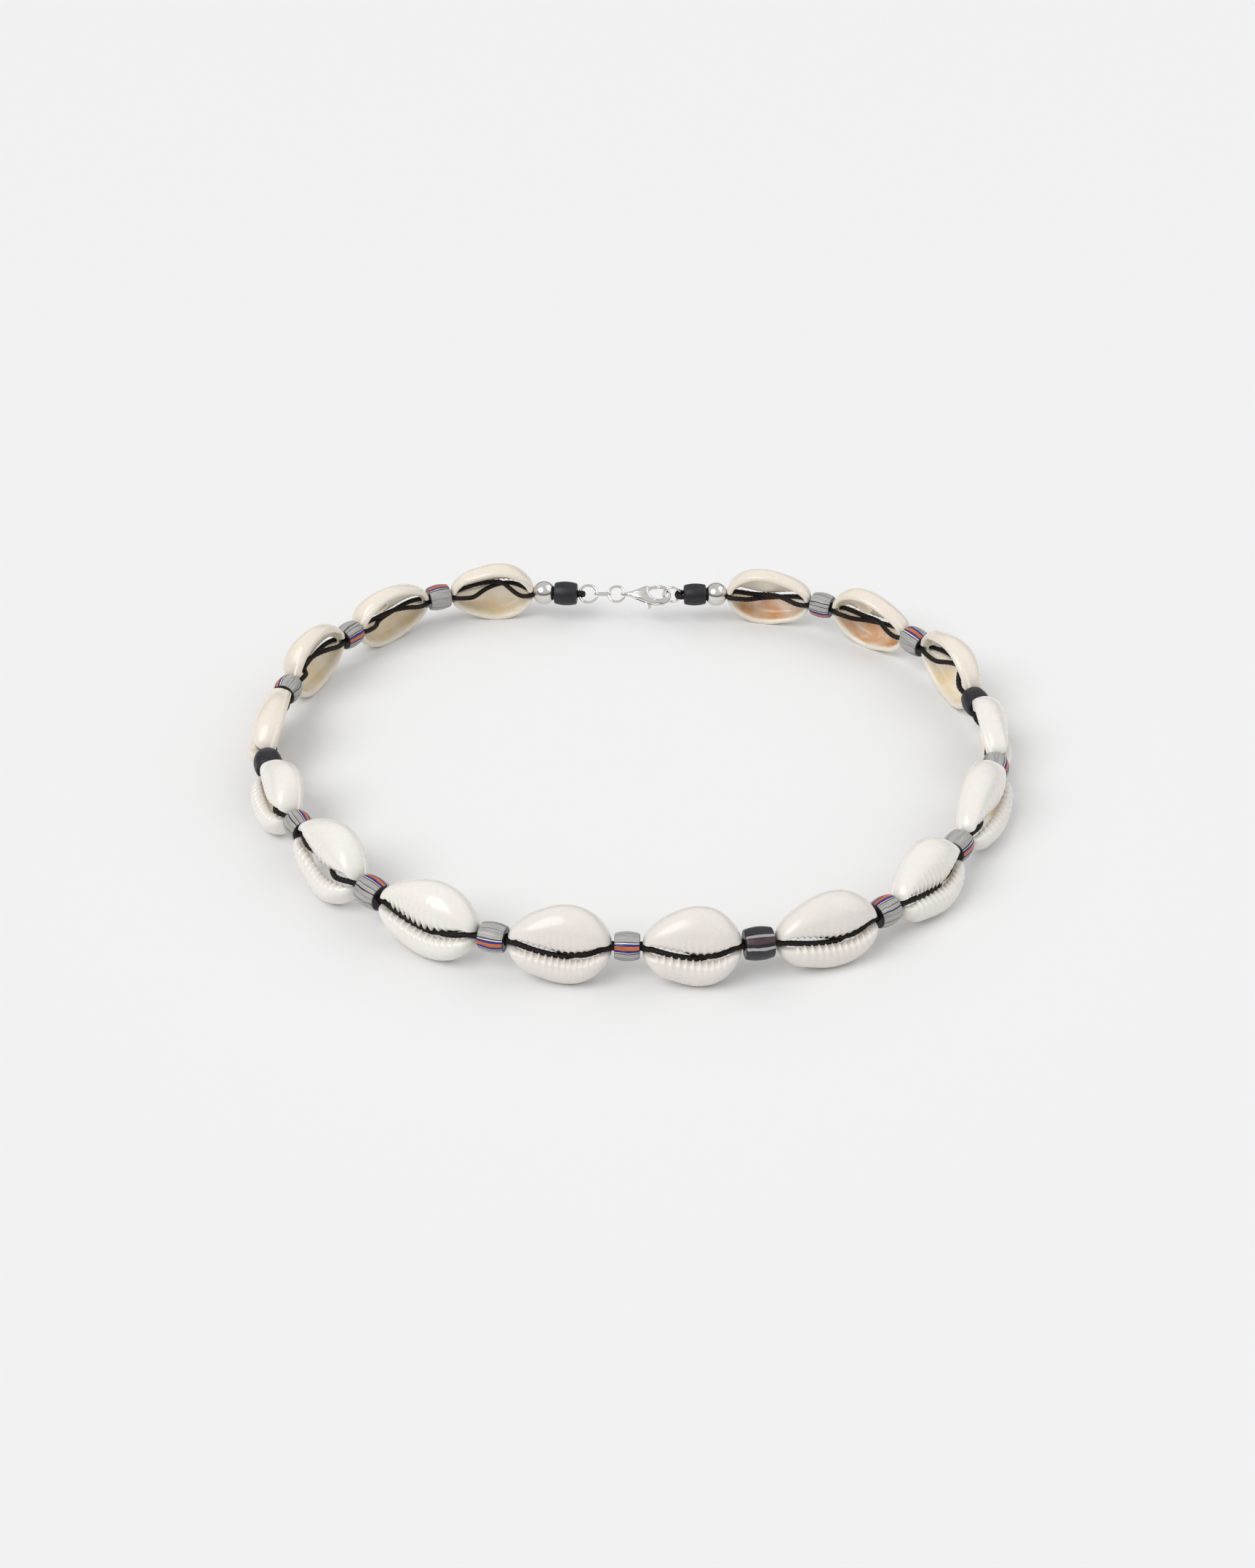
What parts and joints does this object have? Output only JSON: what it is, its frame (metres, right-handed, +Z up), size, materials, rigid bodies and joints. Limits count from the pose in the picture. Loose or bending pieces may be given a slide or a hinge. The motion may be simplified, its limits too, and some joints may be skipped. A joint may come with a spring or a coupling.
{
  "type": "cowrie shell necklace",
  "caption": "Choker necklace of cut cowrie shells and striped glass beads on two dark cord strands, with a lobster clasp.",
  "frame": {"origin": "on the surface the necklace stands on, under the middle of the ring", "axes": "+Z up, +Y towards the clasp at the back of the neck, +X to the wearer's left as seen from the front"},
  "size_m": [0.1602, 0.1426, 0.016],
  "materials": {
    "cowrie_shell": "porcelain gloss, ivory to pinkish white, with a tan inside",
    "striped_glass": "opaque drawn glass, grey with white, blue and orange stripes",
    "banded_dark_glass": "opaque dark glass with light grey stripes",
    "dark_glass": "satin, almost black",
    "silver": "polished",
    "waxed_cord": "waxed braid, near black"
  },
  "bodies": {
    "necklace": {"shell_01": "cowrie_shell", "shell_02": "cowrie_shell", "shell_03": "cowrie_shell", "shell_04": "cowrie_shell", "shell_05": "cowrie_shell", "shell_06": "cowrie_shell", "shell_07": "cowrie_shell", "shell_08": "cowrie_shell", "shell_09": "cowrie_shell", "shell_10": "cowrie_shell", "shell_11": "cowrie_shell", "shell_12": "cowrie_shell", "shell_13": "cowrie_shell", "shell_14": "cowrie_shell", "shell_15": "cowrie_shell", "shell_16": "cowrie_shell", "glass_bead_01": "striped_glass", "glass_bead_02": "striped_glass", "glass_bead_03": "striped_glass", "glass_bead_04": "dark_glass", "glass_bead_05": "striped_glass", "glass_bead_06": "striped_glass", "glass_bead_07": "striped_glass", "glass_bead_08": "striped_glass", "glass_bead_09": "banded_dark_glass", "glass_bead_10": "striped_glass", "glass_bead_11": "striped_glass", "glass_bead_12": "striped_glass", "glass_bead_13": "dark_glass", "glass_bead_14": "striped_glass", "glass_bead_15": "striped_glass", "end_bead_left": "dark_glass", "end_bead_right": "dark_glass", "silver_bead_left": "silver", "silver_bead_right": "silver", "ring_end": "silver", "ring_middle": "silver", "ring_hook": "silver", "link": "silver", "clasp_body": "silver", "cord_strand_a": "waxed_cord", "cord_strand_b": "waxed_cord"},
    "clasp_lever": {"clasp_lever": "silver"}
  },
  "joints": [
    {"name": "lever", "type": "hinge", "parent": "necklace", "child": "clasp_lever", "pos_m": [0.00323, 0.06588, 0.00691], "axis": [0.011, 0.669, -0.7431], "range_deg": [0, 25], "stiffness_Nm_per_rad": 0.0008}
  ]
}
